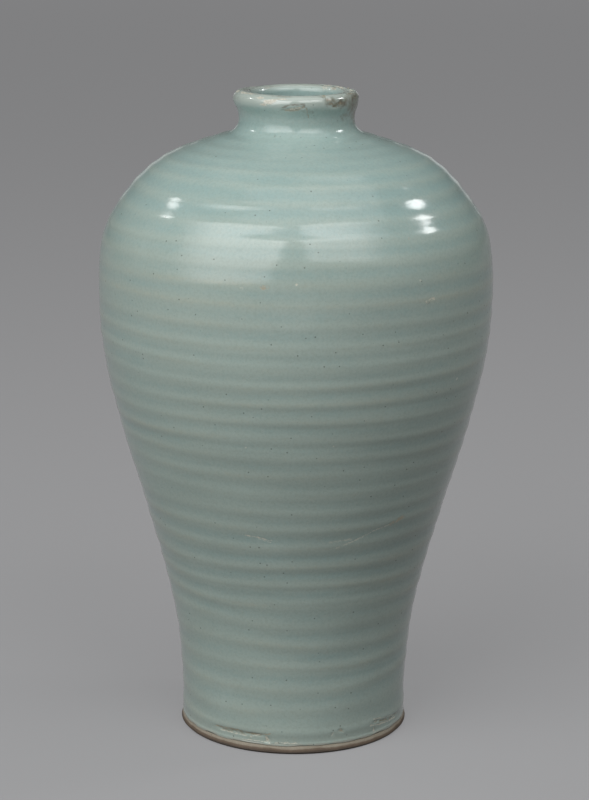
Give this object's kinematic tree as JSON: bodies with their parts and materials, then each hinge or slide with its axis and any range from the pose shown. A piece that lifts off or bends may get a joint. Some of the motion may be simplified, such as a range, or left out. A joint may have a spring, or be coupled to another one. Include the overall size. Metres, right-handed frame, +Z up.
{
  "type": "meiping vase",
  "caption": "Ribbed celadon meiping vase: high round shoulder, short waisted neck with a rolled lip and a bare turned foot ring; stands free and holds a flower stem.",
  "frame": {"origin": "centre of the foot, on the plane it stands on", "axes": "+Z up along the axis of the vase; the pictured side faces -Y"},
  "size_m": [0.1578, 0.1578, 0.26],
  "materials": {
    "stoneware": "matt fired clay",
    "luting_slip": "matt fired slip",
    "celadon_glaze": "glossy"
  },
  "bodies": {
    "root": {"lower_body": "stoneware", "waist_luting": "luting_slip", "middle_body": "stoneware", "belly_luting": "luting_slip", "shoulder": "stoneware", "neck_luting": "luting_slip", "neck": "stoneware", "outer_glaze": "celadon_glaze", "inner_glaze": "celadon_glaze", "base_glaze": "celadon_glaze"}
  },
  "joints": []
}
